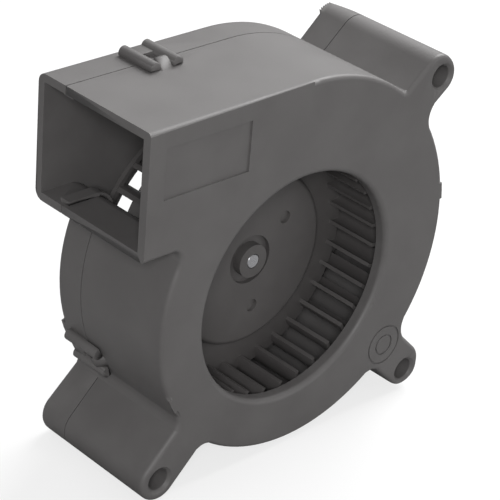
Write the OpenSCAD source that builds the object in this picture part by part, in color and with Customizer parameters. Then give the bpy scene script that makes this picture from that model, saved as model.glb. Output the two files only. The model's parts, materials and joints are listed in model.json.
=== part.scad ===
// DC blower fan: a scroll housing of two shells that snap together, a forward-curved
// blower wheel on a shaft in two ball bearings, and a brushless motor inside its hub.
//
// Every piece is drawn lying on the rear face, with the rotor axis along Z and heights
// counted from the rear face. stand() then turns it upright: the origin is where the
// rotor axis meets the rear face, the inlet faces -Y, the outlet -X, and +Z is up.

/* [Housing] */
// Depth over the front and rear faces
depth = 30; // [28:0.5:36]
// Height of the seam between the two shells
seam_height = 7.4; // [6.4:0.2:9]
// Width of the parting line between the two shells
seam_gap = 0.2; // [0.1:0.05:0.3]
// Side wall of both shells
side_wall = 1.6; // [1.2:0.1:2]
// Face wall of the front shell
front_wall = 1.8; // [1.4:0.1:2.2]
// Face wall of the rear shell
rear_wall = 1.6; // [1.4:0.1:1.8]

/* [Scroll] */
// Outer radius of the scroll below the outlet, where it is tightest
scroll_r = 33; // [32:0.5:40]
// First widening of the scroll, at its lower side
scroll_step_1 = 3.3; // [2:0.1:4]
// Second widening of the scroll, at its right side
scroll_step_2 = 2; // [1:0.1:3]
// Distance from the rotor axis to the mouth of the outlet
mouth_reach = 38.2; // [36.5:0.1:48]
// Height of the outlet's underside above the rotor axis
outlet_low = 17.3; // [15:0.1:19]
// Fillet between the outlet's underside and the scroll
outlet_fillet = 2; // [1.2:0.1:3]

/* [Mounting lugs] */
// Distance between the mounting holes, along both sides of the square
hole_pitch = 64.3; // [63.5:0.1:80]
// Distance from the rotor axis to the right-hand holes
hole_right = 33.1; // [32.5:0.1:40]
// Distance from the rotor axis down to the lower holes
hole_low = 30; // [30:0.1:40]
// Diameter of the mounting holes
hole_d = 4.4; // [3.2:0.1:5]
// Chamfer at both ends of the mounting holes
hole_chamfer = 0.6; // [0.3:0.1:0.8]
// Half the width of the lugs, and the radius of their ends
lug_r = 4.3; // [4:0.1:5]
// Distance by which the upper right lug narrows towards the rear face
lug_taper = 1.4; // [0.5:0.1:1.6]

/* [Inlets] */
// Radius of the inlet's throat
inlet_r = 23; // [20:0.5:25]
// Depth of the inlet's lip
lip_depth = 2.6; // [2:0.1:3]
// Rounding of the inlet's edge
inlet_round = 1.1; // [0.6:0.1:1.4]
// Radius of the rear air opening around the motor base
rear_inlet_r = 23; // [21.5:0.5:25]
// Width of the arms that hold the motor base
arm_w = 4; // [3:0.5:6]

/* [Blower wheel] */
// Gap between the wheel and the scroll where it is tightest
cutoff_gap = 3.4; // [2.5:0.1:4.5]
// Radial length of the blades
blade_len = 5.2; // [4:0.1:5.6]
// Thickness of the blades
blade_t = 0.7; // [0.5:0.1:1]
// Number of blades
blade_n = 33; // [24:1:40]
// Gap between the blades and the faces of the shells
blade_gap = 1.8; // [1.4:0.1:2.4]
// Outer radius of the hub
hub_r = 18; // [17.5:0.1:18.4]
// Side wall of the hub
hub_wall = 1.2; // [0.8:0.1:1.4]
// Front wall of the hub
hub_top = 1.6; // [1.4:0.1:2.2]

/* [Motor] */
// Diameter of the shaft
shaft_d = 3; // [2.6:0.1:3.1]
// Outer diameter of the ball bearings
bearing_d = 8; // [7.8:0.1:8.4]
// Width of the ball bearings
bearing_w = 4; // [3.6:0.1:4.2]
// Wall of the brass bearing tube
tube_wall = 1.2; // [0.9:0.1:1.4]
// Wall of the steel rotor cup
yoke_t = 0.8; // [0.6:0.1:1]
// Radial thickness of the magnet ring
magnet_t = 2; // [1.6:0.1:2.4]
// Air gap between the magnet and the stator
air_gap = 0.35; // [0.3:0.05:0.5]
// Thickness of the stator's stack of laminations
core_t = 4.6; // [4:0.2:5]
// Thickness of the circuit board
board_t = 1; // [0.8:0.1:1.2]
// Thickness of the copper on each coil
coil_build = 1.5; // [1:0.1:1.7]

/* [Hidden] */
$fn = 96;

// Cuts run past what they cut by this much
over = 0.5;
// Arcs that run into each other cross by this much, so that their meeting is exact
touch_gap = 0.002;
// Clearance between pieces that are pressed or glued together
press = 0.02;
// Clearance between pieces of one assembly that only locate each other
locate = 0.1;

// Rising from the rear face: the motor's stack
board_z = rear_wall + 1.4;
coil_z = board_z + board_t + 0.6;
insulator_t = 0.7;
core_z = coil_z + coil_build + insulator_t;
core_top = core_z + core_t;
coil_top = core_top + insulator_t + coil_build;
yoke_in = coil_top + 0.9;
yoke_top = yoke_in + yoke_t;
hub_front = yoke_top + hub_top;
boss_top = hub_front + 0.9;

// Outwards from the rotor axis: the motor's rings
shaft_r = shaft_d / 2;
bearing_r = bearing_d / 2;
tube_r = bearing_r + tube_wall;
hub_in = hub_r - hub_wall;
yoke_r = hub_in - press;
yoke_in_r = yoke_r - yoke_t;
magnet_r = yoke_in_r - press;
magnet_in_r = magnet_r - magnet_t;
stator_r = magnet_in_r - air_gap;

// Bearings and the tube that holds them
tube_z = 0.7;
rear_bearing_z = rear_wall + 1.1;
bearing_land = 2.2;
front_bearing_z = rear_bearing_z + bearing_w + bearing_land;
tube_top = front_bearing_z + bearing_w + 0.1;
washer_t = 0.3;
clip_t = 0.4;
clip_z = rear_bearing_z - washer_t - clip_t - press;
shaft_z = clip_z - 0.5;
bush_r = shaft_r + 1.7;
bush_z = yoke_in - 0.3;
bush_top = yoke_top + 0.6;

// Blower wheel
wheel_r = scroll_r - side_wall - cutoff_gap;
blade_z = rear_wall + blade_gap;
blade_top = depth - front_wall - blade_gap + 0.2;
blade_in_r = wheel_r - blade_len;
web_t = 1.4;
web_z = hub_front - 1.9 - web_t;

// Scroll: three arcs that meet smoothly, each about its own centre, widening anticlockwise
widen_1 = -116;
widen_2 = -18;
arc_1 = scroll_step_1 * unit(widen_1 + 180);
arc_2 = arc_1 + scroll_step_2 * unit(widen_2 + 180);
arc_1_r = scroll_r + scroll_step_1;
arc_2_r = arc_1_r + scroll_step_2;
outlet_top = arc_2[1] + arc_2_r;
mouth_x = -mouth_reach;

// Mounting holes: upper right, lower right, lower left
hole_r = hole_d / 2;
holes = [[hole_right, hole_pitch - hole_low],
    [hole_right, -hole_low],
    [hole_right - hole_pitch, -hole_low]];

// Latches: foot on the wall and the direction in which the wall faces
latches = [[[-19, outlet_top], 90],
    [scroll_r * unit(206), 206],
    [arc_2 + arc_2_r * unit(8), 8]];
latch_z = 2.6;
latch_len = 10;

function unit(a) = [cos(a), sin(a)];

// Directions of travel run anticlockwise around the outline, with the solid on the left.
// turn() is how far the outline turns right from heading a to heading b.
function turn(a, b) = (a - b) - 360 * floor((a - b) / 360);

// A lug is its round end, the headings of its two sides (up to the end and back), the
// fillets at their roots and the scroll arc [centre, radius] that carries it
lugs = [
    [holes[2], 225, 45, 3, 3, [[0, 0], scroll_r]],
    [holes[1] + [-0.4, 1.2], 315, 135, 3.2, 4.5, [arc_1, arc_1_r]],
    [holes[0] + [-0.9, 0.3], 42, 221, 4.3, 1.5, [arc_2, arc_2_r]]
];

// Centre of the fillet of radius f between a side with heading h and the scroll arc; the
// sign tells whether the side comes from the arc (1) or goes to it (-1)
function fillet_at(end, h, f, arc, sign) =
    let (q = end + (lug_r + f) * unit(h - 90) - arc[0],
        along = q * unit(h),
        reach = sqrt(along * along - q * q + pow(arc[1] + f, 2)))
    arc[0] + q + (sign * reach - along) * unit(h);

function angle_of(v) = atan2(v[1], v[0]);

module stand() rotate([90, 0, 0]) children();

module slab(z0, z1) translate([0, 0, z0]) linear_extrude(z1 - z0) children();

module tube(r_out, r_in, z0, z1) difference() {
    translate([0, 0, z0]) cylinder(r = r_out, h = z1 - z0);
    translate([0, 0, z0 - over]) cylinder(r = r_in, h = z1 - z0 + 2 * over);
}

module spread(n, start = 0) for (i = [0:n - 1]) rotate(start + i * 360 / n) children();

// Sector about the point c, from angle a to angle b
module sector(c, r, a, b) intersection() {
    translate(c) circle(r);
    polygon([c, c + 2 * r * unit(a), c + 3 * r * unit((a + b) / 2), c + 2 * r * unit(b)]);
}

// Solid corner behind a fillet of radius f centred at p, where the outline turns right
// from heading h_in to heading h_out
module fillet_patch(p, f, h_in, h_out) {
    half = turn(h_in, h_out) / 2;
    root = 0.5;
    deep = 3;
    difference() {
        polygon([p + (f + root) * unit(h_in + 90), p + (f / cos(half) + deep) * unit(h_in + 90 - half),
            p + (f + root) * unit(h_out + 90)]);
        translate(p) circle(f + touch_gap);
    }
}

// Scroll and outlet, inset by t, with the mouth at x
module scroll_area(t, x) {
    reach = scroll_r + outlet_fillet;
    y = outlet_low - outlet_fillet;
    corner = [-sqrt(reach * reach - y * y), y];
    circle(scroll_r - t);
    sector(arc_1, arc_1_r - t - touch_gap, widen_1, widen_2 + 5);
    sector(arc_2, arc_2_r - t - 2 * touch_gap, widen_2, 95);
    translate([x, outlet_low + t]) square([arc_2[0] - x, outlet_top - outlet_low - 2 * t - 3 * touch_gap]);
    fillet_patch(corner, outlet_fillet + t, 0, angle_of(corner) + 90);
}

module lug_area(l) {
    end = l[0];
    h_in = l[1];
    h_out = l[2];
    arc = l[5];
    root_in = fillet_at(end, h_in, l[3], arc, 1);
    root_out = fillet_at(end, h_out, l[4], arc, -1);
    p = end + (lug_r - touch_gap) * unit(h_in - 90);
    q = end + (lug_r - touch_gap) * unit(h_out - 90);
    translate(end) circle(lug_r);
    polygon([p - norm(root_in - end) * unit(h_in), p, q, q + norm(root_out - end) * unit(h_out)]);
    fillet_patch(root_in, l[3], angle_of(root_in - arc[0]) + 90, h_in);
    fillet_patch(root_out, l[4], h_out, angle_of(root_out - arc[0]) + 90);
}

module outline() {
    scroll_area(0, mouth_x);
    for (l = lugs) lug_area(l);
}

module passage(t) scroll_area(t, mouth_x - over);

// What a rounding of radius r takes off an edge at height 0, outwards along X
module edge_profile(r) difference() {
    translate([-r, -over]) square([r + over, r + over]);
    translate([-r, r]) circle(r);
}

module lug_holes() for (h = holes) translate(h) {
    translate([0, 0, -over]) cylinder(r = hole_r, h = depth + 2 * over);
    for (z = [0, depth]) translate([0, 0, z]) mirror([0, 0, z > 0 ? 1 : 0]) translate([0, 0, -over])
        cylinder(r1 = hole_r + hole_chamfer + over, r2 = hole_r, h = hole_chamfer + over);
}

module on_wall(latch) translate(latch[0]) rotate(latch[1]) children();

module front_casing() color("#4a4a4c") stand() difference() {
    union() {
        difference() {
            slab(seam_height + seam_gap, depth) outline();
            slab(seam_height, depth - front_wall) passage(side_wall);
        }
        tube(inlet_r + front_wall, inlet_r, depth - lip_depth, depth - over);
        for (latch = latches) on_wall(latch) latch_nub();
    }
    translate([0, 0, depth - lip_depth - over]) cylinder(r = inlet_r, h = lip_depth + 2 * over);
    translate([0, 0, depth]) mirror([0, 0, 1]) rotate_extrude()
        translate([inlet_r, 0]) mirror([1, 0]) edge_profile(inlet_round);
    face_recess();
    mould_dial();
    lug_holes();
}

// Shallow bare field on the front face, beside the outlet
module face_recess() {
    recess_w = 19.4;
    recess_h = 9.8;
    recess_depth = 0.35;
    translate([mouth_x + 3.6, outlet_top - 3.6 - recess_h, depth - recess_depth])
        cube([recess_w, recess_h, recess_depth + over]);
}

// Two plain rings that a mould insert leaves beside the lower right lug
module mould_dial() {
    ring_w = 0.4;
    ring_depth = 0.25;
    for (r = [2.3, 4.3]) translate([hole_right - 7.2, 8.5 - hole_low, 0])
        tube(r, r - ring_w, depth - ring_depth, depth + over);
}

// Wedge on the front shell that a latch of the rear shell snaps over
module latch_nub() translate([0, 0, latch_z + latch_len - 3.4]) rotate([90, 0, 0])
    translate([0, 0, -1.2]) linear_extrude(2.4)
    polygon([[-0.6, 0], [1.5, 0], [1.5, 0.8], [0, 2.6], [-0.6, 2.6]]);

// Two round bars on the rear shell, with a foot that joins them
module latch_clip() {
    bar_r = 1.15;
    bar_spread = 2.6;
    bar_out = 0.55;
    bar_clear = 0.1;
    for (s = [-1, 1]) translate([bar_out, s * bar_spread, latch_z]) {
        difference() {
            cylinder(r = bar_r, h = latch_len - bar_r);
            translate([-2 * bar_r - bar_out + bar_clear, -2 * bar_r, seam_height + seam_gap - latch_z - 0.2])
                cube([2 * bar_r, 4 * bar_r, latch_len]);
        }
    }
    translate([-0.6, -bar_spread, latch_z]) cube([1.5, 2 * bar_spread, 3.4]);
}

module rear_casing() color("#434345") stand() difference() {
    union() {
        difference() {
            slab(0, seam_height) outline();
            slab(rear_wall, seam_height + over) passage(side_wall);
            translate([0, 0, -over]) cylinder(r = rear_inlet_r, h = rear_wall + 2 * over);
        }
        locating_lip();
        motor_base();
        for (latch = latches) on_wall(latch) latch_clip();
    }
    lug_slope();
    wire_groove();
    lug_holes();
    translate([0, 0, tube_z]) cylinder(r = tube_r + press, h = depth);
}

// Groove for the lead wires, along one arm from the motor base to the edge of the rear face
module wire_groove() {
    groove_w = 2.4;
    groove_depth = 0.9;
    start_r = hub_r - 3.4;
    rotate(300) translate([start_r, -groove_w / 2, -over])
        cube([arc_1_r + lug_r - start_r, groove_w, groove_depth + over]);
    rotate(300) translate([start_r, -groove_w / 2, -over]) cube([1.8, groove_w, rear_wall + 2 * over]);
}

// The end of the upper right lug slopes inwards from the seam to the rear face
module lug_slope() {
    end = lugs[2][0];
    heading = lugs[2][1];
    translate(end) rotate(heading) translate([lug_r, 0, seam_height])
        rotate([0, atan(lug_taper / seam_height), 0])
        translate([0, -2 * lug_r, -2 * seam_height]) cube([2 * lug_r, 4 * lug_r, 2 * seam_height]);
}

// Thin rim inside the seam that the front shell slides over
module locating_lip() {
    lip_t = 0.7;
    slab(seam_height - 1.2, seam_height + 1.2) difference() {
        passage(side_wall + locate);
        passage(side_wall + locate + lip_t);
        translate([mouth_x - 2 * over, 0]) square([3 * over + 0.3, outlet_top]);
    }
    slab(seam_height - 1.2, seam_height - 0.4) difference() {
        passage(side_wall - over);
        passage(side_wall + locate + lip_t);
        translate([mouth_x - 2 * over, 0]) square([3 * over + 0.3, outlet_top]);
    }
}

// Disc that carries the motor, its three arms and the socket of the bearing tube
module motor_base() {
    cylinder(r = hub_r, h = rear_wall);
    tube(hub_r, hub_r - 1.3, 0, rear_wall + 1.6);
    cylinder(r = tube_r + 0.8, h = board_z - 0.2);
    spread(3, 60) translate([hub_r - 0.8, -arm_w / 2, 0])
        cube([rear_inlet_r - hub_r + 1.8, arm_w, rear_wall + 0.6]);
    spread(3, 20) translate([10.5, 0, 0]) cylinder(r = 1.2, h = board_z);
}

module impeller() color("#3e3e40") stand() {
    difference() {
        union() {
            cylinder_rounded(hub_r, blade_z + 1.2, hub_front, 1);
            translate([0, 0, web_z]) cylinder(r = blade_in_r + 2.5, h = web_t);
        }
        translate([0, 0, blade_z]) cylinder(r = hub_in, h = yoke_top + press - blade_z);
        tube(5, bush_r + 0.2, hub_front - 1, hub_front + over);
        spread(3, 38) translate([10.6, 0, hub_front - 0.7]) cylinder(r = 1.3, h = 1);
        cylinder(r = bush_r + press, h = bush_top + press);
        cylinder(r = shaft_r + press, h = boss_top + over);
    }
    tube(bush_r + 0.2, shaft_r + press, bush_top + press, boss_top);
    slab(blade_z, blade_top) spread(blade_n) blade();
    for (z = [blade_z, blade_top - 0.9]) tube(wheel_r, wheel_r - 1, z, z + 0.9);
}

// Section of one blade: a thin arc whose outer end leans forward in the turning direction
module blade() {
    bend_r = blade_len * 0.85;
    mid_r = wheel_r - 0.5 - blade_len / 2;
    intersection() {
        difference() {
            circle(wheel_r - 0.3);
            circle(blade_in_r);
        }
        translate([mid_r - 0.4, bend_r]) difference() {
            circle(bend_r + blade_t / 2);
            circle(bend_r - blade_t / 2);
        }
        translate([blade_in_r - 3, -3]) square([blade_len + 4, blade_len + 2.4]);
    }
}

module cylinder_rounded(r, z0, z1, edge) rotate_extrude() difference() {
    translate([0, z0]) square([r, z1 - z0]);
    translate([r, z1]) mirror([0, 1]) edge_profile(edge);
}

module rotor_yoke() color("silver") stand() difference() {
    translate([0, 0, blade_z + 1.5]) cylinder(r = yoke_r, h = yoke_top - blade_z - 1.5);
    translate([0, 0, blade_z]) cylinder(r = yoke_in_r, h = yoke_in - blade_z);
    cylinder(r = bush_r + press, h = depth);
}

module magnet_ring() color("#2b2b2e") stand() tube(magnet_r, magnet_in_r, coil_z + 0.8, yoke_in - 0.2);

module shaft() color("lightgray") stand() difference() {
    rotate_extrude() polygon([[0, shaft_z], [shaft_r - 0.3, shaft_z], [shaft_r, shaft_z + 0.3],
        [shaft_r, boss_top - 0.2], [shaft_r - 0.2, boss_top], [0, boss_top]]);
    tube(shaft_r + over, shaft_r - 0.4, clip_z - 0.05, clip_z + clip_t + 0.05);
}

module shaft_bush() color("goldenrod") stand() tube(bush_r, shaft_r + press, bush_z, bush_top);

module retaining_clip() color("silver") stand() difference() {
    tube(bearing_r - 1.5, shaft_r - 0.38, clip_z, clip_z + clip_t);
    translate([0, -0.9, clip_z - over]) cube([bearing_r, 1.8, clip_t + 2 * over]);
}

module spacer_washer() color("ivory") stand()
    tube(inner_ring_r - 0.05, shaft_r + press, clip_z + clip_t + press / 2, rear_bearing_z - press / 2);

// Light coil spring, swept along a helix with flat ends
module preload_spring() color("silver") stand() {
    wire_r = 0.16;
    turns_n = 2.5;
    steps = 20 * turns_n;
    sides = 8;
    coil_r = (shaft_r + inner_ring_r) / 2;
    foot = front_bearing_z + bearing_w + wire_r + press;
    rise = bush_z - press - wire_r - foot;
    ring = [for (k = [0:steps]) let (a = 360 * turns_n * k / steps,
        climb = min(1, max(0, (k / steps - 0.15) / 0.7)))
        [for (s = [0:sides - 1]) let (b = 360 * s / sides, r = coil_r + wire_r * cos(b))
            [r * cos(a), r * sin(a), foot + rise * climb + wire_r * sin(b)]]];
    points = [for (r = ring) each r];
    skin = [for (k = [0:steps - 1]) for (s = [0:sides - 1]) let (t = (s + 1) % sides)
        [k * sides + s, (k + 1) * sides + s, (k + 1) * sides + t, k * sides + t]];
    ends = [[for (s = [0:sides - 1]) s], [for (s = [sides - 1:-1:0]) steps * sides + s]];
    polyhedron(points, concat(skin, ends));
}

// Ball bearing, drawn from its own rear face up
ball_r = 0.78;
ball_n = 7;
track_r = (shaft_r + bearing_r) / 2;
inner_ring_r = track_r - 0.5;
outer_ring_in = track_r + 0.5;
shield_seat = 0.28;

module race() translate([track_r, bearing_w / 2]) circle(ball_r + 0.06, $fn = 48);

module outer_ring(z) color("lightgray") stand() translate([0, 0, z]) rotate_extrude() difference() {
    translate([outer_ring_in, 0]) square([bearing_r - press - outer_ring_in, bearing_w]);
    race();
    for (y = [-over, bearing_w - shield_seat]) translate([outer_ring_in - over, y])
        square([over + 0.25, shield_seat + over]);
}

module inner_ring(z) color("lightgray") stand() translate([0, 0, z]) rotate_extrude() difference() {
    translate([shaft_r + press / 2, 0]) square([inner_ring_r - shaft_r - press / 2, bearing_w]);
    race();
}

module balls(z) color("white") stand() translate([0, 0, z + bearing_w / 2])
    spread(ball_n) translate([track_r, 0, 0]) sphere(r = ball_r, $fn = 32);

module cage(z) color("goldenrod") stand() translate([0, 0, z + bearing_w / 2]) difference() {
    tube(track_r + 0.3, track_r - 0.3, -1.1, 1.1);
    spread(ball_n) translate([track_r - 0.6, 0, 0]) rotate([0, 90, 0])
        cylinder(r = ball_r + 0.04, h = 1.2, $fn = 32);
}

module shields(z) color("silver") stand() for (y = [0.06, bearing_w - shield_seat + press])
    tube(outer_ring_in + 0.25 - press, inner_ring_r + 0.12, z + y, z + y + 0.2);

module bearing_tube() color("goldenrod") stand() difference() {
    translate([0, 0, tube_z + press]) cylinder(r = tube_r, h = tube_top - tube_z - press);
    cylinder(r = bearing_r - 0.7, h = depth);
    translate([0, 0, -over]) cylinder(r = bearing_r, h = rear_bearing_z + bearing_w + press + over);
    translate([0, 0, front_bearing_z - press]) cylinder(r = bearing_r, h = depth);
}

// Stator: four T-shaped poles on a ring that sits on the bearing tube
neck_w = 3;
core_ring = tube_r + 2;
shoe_in = stator_r - 1.7;

module core_section(shrink = 0) {
    difference() {
        union() {
            circle(core_ring);
            spread(4, 45) translate([0, -neck_w / 2]) square([stator_r - 1, neck_w]);
            intersection() {
                difference() {
                    circle(stator_r - shrink);
                    circle(shoe_in + shrink);
                }
                spread(4, 45) rotate(-38) square_wedge(76);
            }
        }
        circle(tube_r + press + shrink);
    }
}

// Quarter-like wedge from the axis, a degrees wide
module square_wedge(a) polygon([[0, 0], 2 * stator_r * unit(0), 2 * stator_r * unit(a / 2),
    2 * stator_r * unit(a)]);

module stator_core() color("#8a8d90") stand() slab(core_z, core_top) core_section();

module insulator(z0, z1, lip_z0, lip_z1) {
    slab(z0, z1) core_section(0.25);
    slab(lip_z0, lip_z1) intersection() {
        difference() {
            circle(stator_r - 0.4);
            circle(shoe_in + 0.3);
        }
        spread(4, 45) rotate(-30) square_wedge(60);
    }
}

module front_insulator() color("ivory") stand()
    insulator(core_top + press, core_top + insulator_t, core_top + insulator_t - 0.1, coil_top - 0.1);

module rear_insulator() color("ivory") stand() difference() {
    insulator(core_z - insulator_t, core_z - press, coil_z + 0.1, core_z - insulator_t + 0.1);
    pin_places() cylinder(r = pin_r + press, h = depth);
}

// One winding around each neck
module coils() color("#b5653a") stand() spread(4, 45) {
    r0 = core_ring + 0.3;
    window_w = neck_w + 0.3;
    width = window_w + 2 * coil_build + 0.6;
    r1 = sqrt(pow(shoe_in - 0.2, 2) - width * width / 4);
    difference() {
        translate([r0, 0, coil_z]) rounded_bar(r1 - r0, width, coil_top - coil_z, coil_build * 0.8);
        translate([r0 - over, -window_w / 2, core_z - insulator_t - press])
            cube([r1 - r0 + 2 * over, window_w, core_t + 2 * insulator_t + 2 * press]);
    }
}

// Bar along X, w wide and h high, with rounded long edges
module rounded_bar(l, w, h, r) {
    translate([0, -w / 2 + r, 0]) cube([l, w - 2 * r, h]);
    translate([0, -w / 2, r]) cube([l, w, h - 2 * r]);
    for (y = [-w / 2 + r, w / 2 - r], z = [r, h - r])
        translate([0, y, z]) rotate([0, 90, 0]) cylinder(r = r, h = l);
}

pin_r = 0.3;
pin_ring = tube_r + 1.3;

module pin_places() spread(4, 0) translate([pin_ring, 0, 0]) children();

module terminal_pins() color("gold") stand() pin_places()
    translate([0, 0, board_z - 0.6]) cylinder(r = pin_r, h = core_z - press - board_z + 0.6, $fn = 24);

board_r = stator_r + 0.8;

module circuit_board() color("#2f6b3c") stand() difference() {
    translate([0, 0, board_z]) cylinder(r = board_r, h = board_t);
    cylinder(r = tube_r + 0.3, h = depth);
    pin_places() cylinder(r = pin_r + press, h = depth, $fn = 24);
    translate([-2, -board_r - over, 0]) cube([4, 1.6 + over, depth]);
}

// A part on the circuit board: its underside is on the board's rear face
module below_board(a, r, l, w, h) rotate(a) translate([r - w / 2, -l / 2, board_z - h]) cube([w, l, h]);

module driver_chip() color("#222222") stand() below_board(80, 9.6, 4.9, 3.9, 1.1);

module hall_sensor() color("#222222") stand() rotate(90)
    translate([board_r - 2.2, -1.5, board_z + board_t]) cube([1.6, 3, 0.5]);

module capacitor() color("#9a8468") stand() below_board(200, 10.8, 3.2, 1.6, 1);

module resistors() color("#1d1d1d") stand() for (a = [232, 290, 320]) below_board(a, 11, 2, 1.2, 0.5);

front_casing();
rear_casing();
impeller();
rotor_yoke();
magnet_ring();
shaft();
shaft_bush();
preload_spring();
spacer_washer();
retaining_clip();
bearing_tube();
outer_ring(front_bearing_z);  // front_outer_ring
inner_ring(front_bearing_z);  // front_inner_ring
balls(front_bearing_z);  // front_balls
cage(front_bearing_z);  // front_cage
shields(front_bearing_z);  // front_shields
outer_ring(rear_bearing_z);  // rear_outer_ring
inner_ring(rear_bearing_z);  // rear_inner_ring
balls(rear_bearing_z);  // rear_balls
cage(rear_bearing_z);  // rear_cage
shields(rear_bearing_z);  // rear_shields
stator_core();
front_insulator();
rear_insulator();
coils();
terminal_pins();
circuit_board();
driver_chip();
hall_sensor();
capacitor();
resistors();
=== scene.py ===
"""Looks of a small DC blower fan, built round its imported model.

The model stands upright with the rotor axis along Y: the inlet faces -Y, the outlet -X.
The two shells get the soft moulded edges of the real ones, and every piece its finish.
"""

import json
import math

import bmesh
import bpy
from mathutils import Matrix, Vector


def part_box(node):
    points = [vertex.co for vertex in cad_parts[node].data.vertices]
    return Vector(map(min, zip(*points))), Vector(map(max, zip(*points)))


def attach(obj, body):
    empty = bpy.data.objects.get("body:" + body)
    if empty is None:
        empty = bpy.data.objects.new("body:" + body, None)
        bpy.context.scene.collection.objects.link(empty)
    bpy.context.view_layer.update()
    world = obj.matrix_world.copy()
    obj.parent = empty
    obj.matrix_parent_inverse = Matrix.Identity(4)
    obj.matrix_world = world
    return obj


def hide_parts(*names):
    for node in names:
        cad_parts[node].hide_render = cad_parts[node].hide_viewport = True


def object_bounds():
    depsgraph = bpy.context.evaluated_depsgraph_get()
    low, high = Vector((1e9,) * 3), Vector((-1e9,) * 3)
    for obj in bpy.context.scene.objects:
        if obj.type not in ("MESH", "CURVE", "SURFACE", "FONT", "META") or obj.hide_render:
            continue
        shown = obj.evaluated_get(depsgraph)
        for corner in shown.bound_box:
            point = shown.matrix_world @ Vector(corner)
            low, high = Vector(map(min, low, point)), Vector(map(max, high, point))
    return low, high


MM = 0.001

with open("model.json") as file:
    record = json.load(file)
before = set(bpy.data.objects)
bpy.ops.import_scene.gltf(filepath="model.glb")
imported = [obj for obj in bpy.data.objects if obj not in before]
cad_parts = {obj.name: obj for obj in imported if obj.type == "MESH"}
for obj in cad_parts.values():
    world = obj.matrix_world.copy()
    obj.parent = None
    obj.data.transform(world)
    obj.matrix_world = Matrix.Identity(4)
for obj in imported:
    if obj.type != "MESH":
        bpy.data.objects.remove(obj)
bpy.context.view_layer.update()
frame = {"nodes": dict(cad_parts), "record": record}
nodes = frame["nodes"]

# ---------------------------------------------------------------- camera

# The photographer stood in front of the outlet's corner, above the fan, with a long lens.
CAMERA_AZIMUTH = math.radians(-44.943)
CAMERA_ELEVATION = math.radians(28.92)
CAMERA_ROLL = math.radians(4.989)
CAMERA_DISTANCE = 386.05 * MM
INLET_IN_VIEW = Vector((8.819, -7.047)) * MM
SENSOR_WIDTH = 36.0
LENS = 151.09


def add_camera():
    """Camera that sees the inlet's centre CAMERA_DISTANCE away, INLET_IN_VIEW off its axis."""
    low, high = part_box("front_casing")
    inlet = Vector((0, low.y, 0))
    a, e, r = CAMERA_AZIMUTH, CAMERA_ELEVATION, CAMERA_ROLL
    back = Vector((math.sin(a) * math.cos(e), -math.cos(a) * math.cos(e), math.sin(e)))
    level = Vector((math.cos(a), math.sin(a), 0))
    upright = back.cross(level)
    right = math.cos(r) * level + math.sin(r) * upright
    up = math.cos(r) * upright - math.sin(r) * level
    place = inlet + CAMERA_DISTANCE * back - INLET_IN_VIEW.x * right - INLET_IN_VIEW.y * up
    data = bpy.data.cameras.new("camera")
    data.lens = LENS
    data.sensor_width = SENSOR_WIDTH
    data.clip_start = 0.01
    data.clip_end = 20
    camera = bpy.data.objects.new("camera", data)
    turn = Matrix((right, up, back)).transposed().to_4x4()
    camera.matrix_world = Matrix.Translation(place) @ turn
    bpy.context.scene.collection.objects.link(camera)
    bpy.context.scene.camera = camera


# ---------------------------------------------------------------- node groups


def new_group(name, inputs, outputs):
    """Empty shader node group with the named inputs {name: default} and outputs {name: type}."""
    group = bpy.data.node_groups.new(name, "ShaderNodeTree")
    for label, default in inputs.items():
        kind = "NodeSocketColor" if isinstance(default, tuple) else "NodeSocketFloat"
        socket = group.interface.new_socket(name=label, in_out="INPUT", socket_type=kind)
        socket.default_value = default
    for label, kind in outputs.items():
        group.interface.new_socket(name=label, in_out="OUTPUT", socket_type=kind)
    return group, group.nodes.new("NodeGroupInput"), group.nodes.new("NodeGroupOutput")


def add_node(tree, kind, settings=None, **values):
    """Node of the given kind; settings are its properties and values its input sockets."""
    node = tree.nodes.new(kind)
    for key, value in (settings or {}).items():
        setattr(node, key, value)
    for key, value in values.items():
        node.inputs[key.replace("_", " ")].default_value = value
    return node


def ramp(tree, low, high):
    """Float range that maps low..high to 0..1."""
    node = tree.nodes.new("ShaderNodeMapRange")
    node.inputs["From Min"].default_value = low
    node.inputs["From Max"].default_value = high
    return node


def multiply(tree, a, b):
    node = tree.nodes.new("ShaderNodeMath")
    node.operation = "MULTIPLY"
    tree.links.new(a, node.inputs[0])
    if isinstance(b, (int, float)):
        node.inputs[1].default_value = b
    else:
        tree.links.new(b, node.inputs[1])
    return node.outputs[0]


def blend_colour(tree, factor, a, b, mode="MIX"):
    """Colour mix of two sockets or colours by a factor socket or number."""
    node = tree.nodes.new("ShaderNodeMix")
    node.data_type = "RGBA"
    node.blend_type = mode
    for value, socket in ((factor, node.inputs[0]), (a, node.inputs[6]), (b, node.inputs[7])):
        if isinstance(value, bpy.types.NodeSocket):
            tree.links.new(value, socket)
        else:
            socket.default_value = value
    return node.outputs[2]


def object_place(tree):
    return tree.nodes.new("ShaderNodeTexCoord").outputs["Object"]


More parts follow.
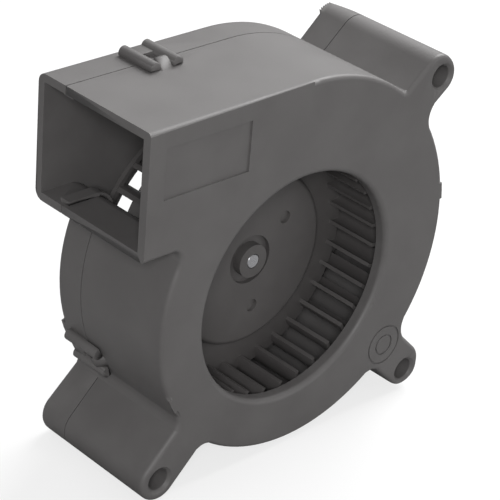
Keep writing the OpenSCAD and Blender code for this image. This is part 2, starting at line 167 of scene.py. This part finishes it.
def make_eroded_grain():
    """Fine spark-eroded mould texture: a height, and a mask of its shallow patches."""
    group, source, sink = new_group(
        "eroded grain",
        {"Grain per mm": 3.0, "Patch per mm": 0.12},
        {"Height": "NodeSocketFloat", "Patches": "NodeSocketFloat"},
    )
    place = object_place(group)
    heights = []
    for share, octave in ((0.65, 1.0), (0.35, 2.7)):
        noise = add_node(group, "ShaderNodeTexNoise", Detail=3.0, Roughness=0.55)
        group.links.new(place, noise.inputs["Vector"])
        scale = multiply(group, source.outputs["Grain per mm"], octave / MM)
        group.links.new(scale, noise.inputs["Scale"])
        heights.append(multiply(group, noise.outputs["Fac"], share))
    total = group.nodes.new("ShaderNodeMath")
    group.links.new(heights[0], total.inputs[0])
    group.links.new(heights[1], total.inputs[1])
    patch = add_node(group, "ShaderNodeTexNoise", Detail=4.0, Roughness=0.6)
    group.links.new(place, patch.inputs["Vector"])
    group.links.new(multiply(group, source.outputs["Patch per mm"], 1 / MM), patch.inputs["Scale"])
    soft = ramp(group, 0.35, 0.65)
    group.links.new(patch.outputs["Fac"], soft.inputs["Value"])
    group.links.new(total.outputs[0], sink.inputs["Height"])
    group.links.new(soft.outputs["Result"], sink.inputs["Patches"])
    return group


def make_rubbed_edges():
    """Mask that is 1 where a surface bends sharply within the given radius, broken by noise."""
    group, source, sink = new_group(
        "rubbed edges", {"Radius mm": 0.4, "Breakup per mm": 0.9}, {"Mask": "NodeSocketFloat"}
    )
    bevel = add_node(group, "ShaderNodeBevel", {"samples": 6})
    group.links.new(multiply(group, source.outputs["Radius mm"], MM), bevel.inputs["Radius"])
    shape = group.nodes.new("ShaderNodeNewGeometry")
    dot = group.nodes.new("ShaderNodeVectorMath")
    dot.operation = "DOT_PRODUCT"
    group.links.new(bevel.outputs["Normal"], dot.inputs[0])
    group.links.new(shape.outputs["Normal"], dot.inputs[1])
    bend = ramp(group, 0.995, 0.90)
    group.links.new(dot.outputs["Value"], bend.inputs["Value"])
    noise = add_node(group, "ShaderNodeTexNoise", Detail=3.0)
    group.links.new(object_place(group), noise.inputs["Vector"])
    group.links.new(multiply(group, source.outputs["Breakup per mm"], 1 / MM), noise.inputs["Scale"])
    broken = ramp(group, 0.35, 0.6)
    group.links.new(noise.outputs["Fac"], broken.inputs["Value"])
    group.links.new(multiply(group, bend.outputs["Result"], broken.outputs["Result"]), sink.inputs["Mask"])
    return group


def make_turned_lines():
    """Fine rings round the rotor axis, as a lathe or a wrapped sheet leaves them."""
    group, source, sink = new_group(
        "turned lines", {"Lines per mm": 8.0}, {"Height": "NodeSocketFloat", "Streaks": "NodeSocketFloat"}
    )
    place = object_place(group)
    split = group.nodes.new("ShaderNodeSeparateXYZ")
    group.links.new(place, split.inputs[0])
    flat = group.nodes.new("ShaderNodeCombineXYZ")
    group.links.new(split.outputs["X"], flat.inputs["X"])
    group.links.new(split.outputs["Z"], flat.inputs["Y"])
    radius = group.nodes.new("ShaderNodeVectorMath")
    radius.operation = "LENGTH"
    group.links.new(flat.outputs[0], radius.inputs[0])
    across = group.nodes.new("ShaderNodeCombineXYZ")
    group.links.new(radius.outputs["Value"], across.inputs["X"])
    group.links.new(split.outputs["Y"], across.inputs["Y"])
    noise = add_node(group, "ShaderNodeTexNoise", Detail=2.0)
    group.links.new(across.outputs[0], noise.inputs["Vector"])
    group.links.new(multiply(group, source.outputs["Lines per mm"], 1 / MM), noise.inputs["Scale"])
    streaks = ramp(group, 0.3, 0.7)
    group.links.new(noise.outputs["Fac"], streaks.inputs["Value"])
    group.links.new(noise.outputs["Fac"], sink.inputs["Height"])
    group.links.new(streaks.outputs["Result"], sink.inputs["Streaks"])
    return group


GRAIN = make_eroded_grain()
RUBBED = make_rubbed_edges()
TURNED = make_turned_lines()

# ---------------------------------------------------------------- materials


def use_group(tree, group, **values):
    node = tree.nodes.new("ShaderNodeGroup")
    node.node_tree = group
    for key, value in values.items():
        node.inputs[key.replace("_", " ")].default_value = value
    return node


def bump(tree, height, distance):
    """Bump node whose full height is the given distance in metres."""
    node = add_node(tree, "ShaderNodeBump", Strength=1.0, Distance=distance)
    tree.links.new(height, node.inputs["Height"])
    return node.outputs["Normal"]


def new_material(name):
    material = bpy.data.materials.new(name)
    material.use_nodes = True
    tree = material.node_tree
    return material, tree, tree.nodes["Principled BSDF"]


def shade(value):
    return (*value, 1.0)


def moulded_plastic(name, colour, pale, rough, grain_depth, grain_per_mm=3.0, wear=0.35):
    """Satin injection-moulded plastic with eroded grain, uneven tone and paler rubbed edges."""
    material, tree, surface = new_material(name)
    grain = use_group(tree, GRAIN, Grain_per_mm=grain_per_mm, Patch_per_mm=0.1)
    rubbed = use_group(tree, RUBBED, Radius_mm=0.35, Breakup_per_mm=0.8)
    toned = blend_colour(tree, multiply(tree, grain.outputs["Patches"], 0.35), shade(colour), shade(pale))
    tree.links.new(
        blend_colour(tree, multiply(tree, rubbed.outputs["Mask"], wear), toned, shade(pale)),
        surface.inputs["Base Color"],
    )
    sheen = ramp(tree, 0.0, 1.0)
    sheen.inputs["To Min"].default_value = rough - 0.04
    sheen.inputs["To Max"].default_value = rough + 0.05
    tree.links.new(grain.outputs["Patches"], sheen.inputs["Value"])
    tree.links.new(sheen.outputs["Result"], surface.inputs["Roughness"])
    tree.links.new(bump(tree, grain.outputs["Height"], grain_depth * MM), surface.inputs["Normal"])
    return material


def turned_metal(name, colour, dull, rough, depth=0.004):
    """Metal with fine lathe rings and a slightly duller film in places."""
    material, tree, surface = new_material(name)
    lines = use_group(tree, TURNED, Lines_per_mm=7.0)
    grain = use_group(tree, GRAIN, Grain_per_mm=2.0, Patch_per_mm=0.6)
    surface.inputs["Metallic"].default_value = 1.0
    tree.links.new(
        blend_colour(tree, multiply(tree, grain.outputs["Patches"], 0.6), shade(colour), shade(dull)),
        surface.inputs["Base Color"],
    )
    sheen = ramp(tree, 0.0, 1.0)
    sheen.inputs["To Min"].default_value = rough - 0.06
    sheen.inputs["To Max"].default_value = rough + 0.08
    tree.links.new(lines.outputs["Streaks"], sheen.inputs["Value"])
    tree.links.new(sheen.outputs["Result"], surface.inputs["Roughness"])
    tree.links.new(bump(tree, lines.outputs["Height"], depth * MM), surface.inputs["Normal"])
    return material


def stacked_sheets(name, colour, rough, sheet_mm=0.5):
    """Edges of punched steel sheets stacked along the rotor axis."""
    material, tree, surface = new_material(name)
    surface.inputs["Metallic"].default_value = 1.0
    split = tree.nodes.new("ShaderNodeSeparateXYZ")
    tree.links.new(object_place(tree), split.inputs[0])
    phase = multiply(tree, split.outputs["Y"], 1 / (sheet_mm * MM))
    saw = tree.nodes.new("ShaderNodeMath")
    saw.operation = "FRACT"
    tree.links.new(phase, saw.inputs[0])
    gap = ramp(tree, 0.0, 0.16)
    tree.links.new(saw.outputs[0], gap.inputs["Value"])
    dark = tuple(0.35 * c for c in colour)
    tree.links.new(
        blend_colour(tree, gap.outputs["Result"], shade(dark), shade(colour)), surface.inputs["Base Color"]
    )
    grain = use_group(tree, GRAIN, Grain_per_mm=4.0, Patch_per_mm=0.5)
    sheen = ramp(tree, 0.0, 1.0)
    sheen.inputs["To Min"].default_value = rough
    sheen.inputs["To Max"].default_value = rough + 0.12
    tree.links.new(grain.outputs["Patches"], sheen.inputs["Value"])
    tree.links.new(sheen.outputs["Result"], surface.inputs["Roughness"])
    tree.links.new(bump(tree, gap.outputs["Result"], 0.02 * MM), surface.inputs["Normal"])
    return material


def wound_copper(name, colour, dark, wire_mm=0.16):
    """Enamelled wire wound side by side: a ripple across the coil, dark in the grooves between turns as painted shade,
    and a glossy coat.
    """
    material, tree, surface = new_material(name)
    split = tree.nodes.new("ShaderNodeSeparateXYZ")
    tree.links.new(object_place(tree), split.inputs[0])
    flat = tree.nodes.new("ShaderNodeCombineXYZ")
    tree.links.new(split.outputs["X"], flat.inputs["X"])
    tree.links.new(split.outputs["Z"], flat.inputs["Y"])
    radius = tree.nodes.new("ShaderNodeVectorMath")
    radius.operation = "LENGTH"
    tree.links.new(flat.outputs[0], radius.inputs[0])
    wave = tree.nodes.new("ShaderNodeMath")
    wave.operation = "SINE"
    tree.links.new(multiply(tree, radius.outputs["Value"], 2 * math.pi / (wire_mm * MM)), wave.inputs[0])
    ripple = ramp(tree, -1.0, 1.0)
    tree.links.new(wave.outputs[0], ripple.inputs["Value"])
    # Painted shade: the colour darkens towards the groove between two turns of wire.
    tree.links.new(
        blend_colour(tree, ripple.outputs["Result"], shade(dark), shade(colour)), surface.inputs["Base Color"]
    )
    surface.inputs["Metallic"].default_value = 0.4
    surface.inputs["Roughness"].default_value = 0.3
    surface.inputs["Coat Weight"].default_value = 0.6
    tree.links.new(bump(tree, ripple.outputs["Result"], 0.05 * MM), surface.inputs["Normal"])
    return material


def make_finishes():
    """One material for each slot of the record."""
    return {
        "housing_plastic": moulded_plastic(
            "housing plastic", (0.105, 0.100, 0.099), (0.150, 0.145, 0.143), 0.54, 0.018, 2.6
        ),
        # The wheel plastic is set darker than the housing plastic, partly as painted shade for the dim inside of the
        # inlet.
        "wheel_plastic": moulded_plastic(
            "wheel plastic", (0.080, 0.075, 0.074), (0.115, 0.110, 0.108), 0.46, 0.008, 3.5
        ),
        "steel": turned_metal("ground steel", (0.60, 0.60, 0.62), (0.48, 0.48, 0.50), 0.24),
        "zinc_steel": turned_metal("plated steel", (0.52, 0.53, 0.56), (0.40, 0.41, 0.43), 0.34),
        "ferrite": moulded_plastic("magnet", (0.030, 0.030, 0.033), (0.070, 0.068, 0.066), 0.62, 0.02, 5.0),
        "brass": turned_metal("brass", (0.72, 0.50, 0.22), (0.52, 0.36, 0.17), 0.28),
        "core_steel": stacked_sheets("lamination steel", (0.34, 0.35, 0.37), 0.38),
        "nylon": moulded_plastic("natural nylon", (0.70, 0.66, 0.55), (0.80, 0.77, 0.68), 0.45, 0.01),
        # The second copper colour is painted shade for the grooves between turns.
        "enamelled_copper": wound_copper("enamelled copper", (0.62, 0.24, 0.09), (0.22, 0.07, 0.03)),
        "board_laminate": moulded_plastic("solder mask", (0.02, 0.15, 0.06), (0.05, 0.22, 0.10), 0.28, 0.006),
        "chip_epoxy": moulded_plastic("chip epoxy", (0.018, 0.018, 0.019), (0.05, 0.05, 0.05), 0.5, 0.01, 6.0),
        "ceramic": moulded_plastic("ceramic", (0.40, 0.29, 0.18), (0.52, 0.41, 0.29), 0.4, 0.006),
    }


# ---------------------------------------------------------------- moulded shells

FRONT_ROUND = 0.85 * MM
REAR_ROUND = 1.9 * MM
LEANING_ROUND = 0.35 * MM
ROUND_STEPS = 6
HOLE_RIM = 3.1 * MM
PLANE = 0.01 * MM


def joined_copy(node, name):
    """Bmesh of a CAD node with its triangles joined back into flat faces."""
    mesh = nodes[node].data.copy()
    mesh.name = name
    work = bmesh.new()
    work.from_mesh(mesh)
    bmesh.ops.remove_doubles(work, verts=work.verts, dist=0.012 * MM)
    bmesh.ops.dissolve_limit(
        work, angle_limit=math.radians(0.2), verts=work.verts, edges=work.edges, use_dissolve_boundaries=False
    )
    bmesh.ops.recalc_face_normals(work, faces=work.faces)
    work.normal_update()
    return mesh, work


def outline_walls(work, face_y, outward):
    """Each outline vertex of the flat face at face_y, with the normals of its outer walls."""
    walls = {}
    for edge in work.edges:
        if len(edge.link_faces) != 2 or any(abs(v.co.y - face_y) > PLANE for v in edge.verts):
            continue
        flat = [f for f in edge.link_faces if f.normal.y * outward > 0.99]
        side = [f for f in edge.link_faces if abs(f.normal.y) < 0.35]
        if len(flat) != 1 or len(side) != 1:
            continue
        deep = max(outward * (face_y - v.co.y) for v in side[0].verts)
        at_mouth = all(v.co.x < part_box("front_casing")[0].x + PLANE for v in edge.verts)
        if deep > 5 * MM and not at_mouth:
            for v in edge.verts:
                walls.setdefault(v, []).append(side[0].normal.copy())
    return walls


def step_in(normals):
    """Direction in XZ that keeps every wall at an even distance, per unit of that distance."""
    first, last = (Vector((n.x, 0, n.z)).normalized() for n in (normals[0], normals[-1]))
    return -(first + last) / (1 + first.dot(last))


def screw_holes():
    return [m["pos_m"] for m in frame["record"]["mounts"] if m["kind"] == "bore"]


def round_outline(work, face_y, outward, radius):
    """Rounds the outer edge of the flat face at face_y, less where a screw hole is near."""
    walls = outline_walls(work, face_y, outward)
    depths = [radius * (1 - math.cos(math.radians(90 * k / ROUND_STEPS))) for k in range(1, ROUND_STEPS + 1)]
    for depth in depths:
        bmesh.ops.bisect_plane(
            work,
            geom=work.verts[:] + work.edges[:] + work.faces[:],
            dist=0.0001 * MM,
            plane_co=(0, face_y - outward * depth, 0),
            plane_no=(0, 1, 0),
        )
    moves = {}
    leaning = [v.co.copy() for v, normals in walls.items() if any(abs(n.y) > 0.04 for n in normals)]
    for corner, normals in walls.items():
        way = step_in(normals)
        room = min(math.hypot(corner.co.x - h[0], corner.co.z - h[2]) for h in screw_holes()) - HOLE_RIM
        ease = min(((corner.co - place).length for place in leaning), default=1.0)
        r = max(0.2 * MM, min(radius, room, LEANING_ROUND + 0.4 * ease))
        down = corner
        depth = 0.0
        while down is not None and depth < r:
            moves[down] = way * (r - math.sqrt(max(0.0, r * r - (r - depth) ** 2)))
            down = next_down(down, outward)
            depth = radius if down is None else outward * (face_y - down.co.y)
    for vertex, move in moves.items():
        vertex.co += move
    work.normal_update()


def next_down(vertex, outward):
    """The vertex below this one on the same upright edge of the wall, if there is one."""
    best, least = None, 0.3
    for edge in vertex.link_edges:
        other = edge.other_vert(vertex)
        step = other.co - vertex.co
        drop = -outward * step.y
        if drop > 0.001 * MM:
            lean = math.hypot(step.x, step.z) / drop
            if lean < least:
                best, least = other, lean
    return best


def finish_mesh(mesh, work, name):
    """Object from the bmesh, smooth except across its real edges, with flat faces kept flat."""
    bmesh.ops.triangulate(
        work, faces=[f for f in work.faces if len(f.verts) > 4], quad_method="BEAUTY", ngon_method="BEAUTY"
    )
    work.to_mesh(mesh)
    work.free()
    mesh.shade_smooth()
    mesh.set_sharp_from_angle(angle=math.radians(28))
    piece = bpy.data.objects.new(name, mesh)
    bpy.context.scene.collection.objects.link(piece)
    even = piece.modifiers.new("even shading", "WEIGHTED_NORMAL")
    even.keep_sharp = True
    even.weight = 80
    bpy.context.view_layer.update()
    graph = bpy.context.evaluated_depsgraph_get()
    shown = bpy.data.meshes.new_from_object(piece.evaluated_get(graph), preserve_all_data_layers=True, depsgraph=graph)
    piece.modifiers.clear()
    piece.data = shown
    return piece


def make_front_shell():
    mesh, work = joined_copy("front_casing", "front shell")
    round_outline(work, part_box("front_casing")[0].y, -1, FRONT_ROUND)
    return finish_mesh(mesh, work, "front_shell")


def make_rear_shell():
    mesh, work = joined_copy("rear_casing", "rear shell")
    round_outline(work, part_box("rear_casing")[1].y, 1, REAR_ROUND)
    return finish_mesh(mesh, work, "rear_shell")


def dress(finishes):
    """Gives every CAD node and every new shell the finish of its slot."""
    slots = {entry["node"]: entry["material_slot"] for entry in frame["record"]["subparts"]}
    for name, node in nodes.items():
        node.data.materials.clear()
        node.data.materials.append(finishes[slots[name]])
    for piece, node in ((make_front_shell(), "front_casing"), (make_rear_shell(), "rear_casing")):
        piece.data.materials.clear()
        piece.data.materials.append(finishes[slots[node]])
        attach(piece, "housing")
        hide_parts(node)


# ---------------------------------------------------------------- studio

FLOOR_SIZE = 3.0
WORLD_LIGHT = 0.30
FLOOR_SEEN = 0.86
FLOOR_BOUNCE = 0.30


def seen_directly(tree):
    """1 for camera, glossy and transmission rays, which see the white background."""
    path = tree.nodes.new("ShaderNodeLightPath")
    total = path.outputs["Is Camera Ray"]
    for label in ("Is Glossy Ray", "Is Transmission Ray"):
        node = tree.nodes.new("ShaderNodeMath")
        node.operation = "MAXIMUM"
        tree.links.new(total, node.inputs[0])
        tree.links.new(path.outputs[label], node.inputs[1])
        total = node.outputs[0]
    return total, path.outputs["Is Camera Ray"]


def add_floor():
    low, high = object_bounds()
    bpy.ops.mesh.primitive_plane_add(size=FLOOR_SIZE, location=(0, 0, low.z))
    floor = bpy.context.object
    floor.name = "floor"
    material, tree, surface = new_material("white floor")
    tree.nodes.remove(surface)
    output = tree.nodes["Material Output"]
    cloth = tree.nodes.new("ShaderNodeBsdfDiffuse")
    grey = ramp(tree, 0.0, 1.0)
    grey.inputs["To Min"].default_value = FLOOR_BOUNCE
    grey.inputs["To Max"].default_value = FLOOR_SEEN
    tree.links.new(seen_directly(tree)[1], grey.inputs["Value"])
    tree.links.new(grey.outputs["Result"], cloth.inputs["Color"])
    glow = add_node(tree, "ShaderNodeEmission", Color=(1, 1, 1, 1), Strength=1.0)
    mix = tree.nodes.new("ShaderNodeMixShader")
    tree.links.new(multiply(tree, seen_directly(tree)[1], 0.72), mix.inputs[0])
    tree.links.new(cloth.outputs[0], mix.inputs[1])
    tree.links.new(glow.outputs[0], mix.inputs[2])
    tree.links.new(mix.outputs[0], output.inputs["Surface"])
    floor.data.materials.append(material)


def add_world():
    world = bpy.data.worlds.new("studio")
    bpy.context.scene.world = world
    world.use_nodes = True
    tree = world.node_tree
    background = tree.nodes["Background"]
    background.inputs["Color"].default_value = (1, 1, 1, 1)
    level = ramp(tree, 0.0, 1.0)
    level.inputs["To Min"].default_value = WORLD_LIGHT
    level.inputs["To Max"].default_value = 1.0
    tree.links.new(seen_directly(tree)[1], level.inputs["Value"])
    tree.links.new(level.outputs["Result"], background.inputs["Strength"])


def add_lamp(name, place, size, watts):
    """Square soft box that looks at the fan."""
    data = bpy.data.lights.new(name, "AREA")
    data.size = size
    data.energy = watts
    lamp = bpy.data.objects.new(name, data)
    lamp.location = place
    lamp.rotation_euler = (-Vector(place)).to_track_quat("-Z", "Y").to_euler()
    bpy.context.scene.collection.objects.link(lamp)


def add_lamps():
    add_lamp("key soft box", (0.56, 0.12, 0.56), 0.50, 8.5)
    add_lamp("rear soft box", (0.20, 0.60, 0.50), 0.40, 0.9)
    add_lamp("front fill", (0.55, -0.75, 0.15), 0.60, 2.0)
    add_lamp("fill beside the camera", (-0.556, -0.557, 0.435), 0.20, 4.2)


add_camera()
dress(make_finishes())
add_world()
add_floor()
add_lamps()
bpy.context.scene.view_settings.view_transform = "Standard"
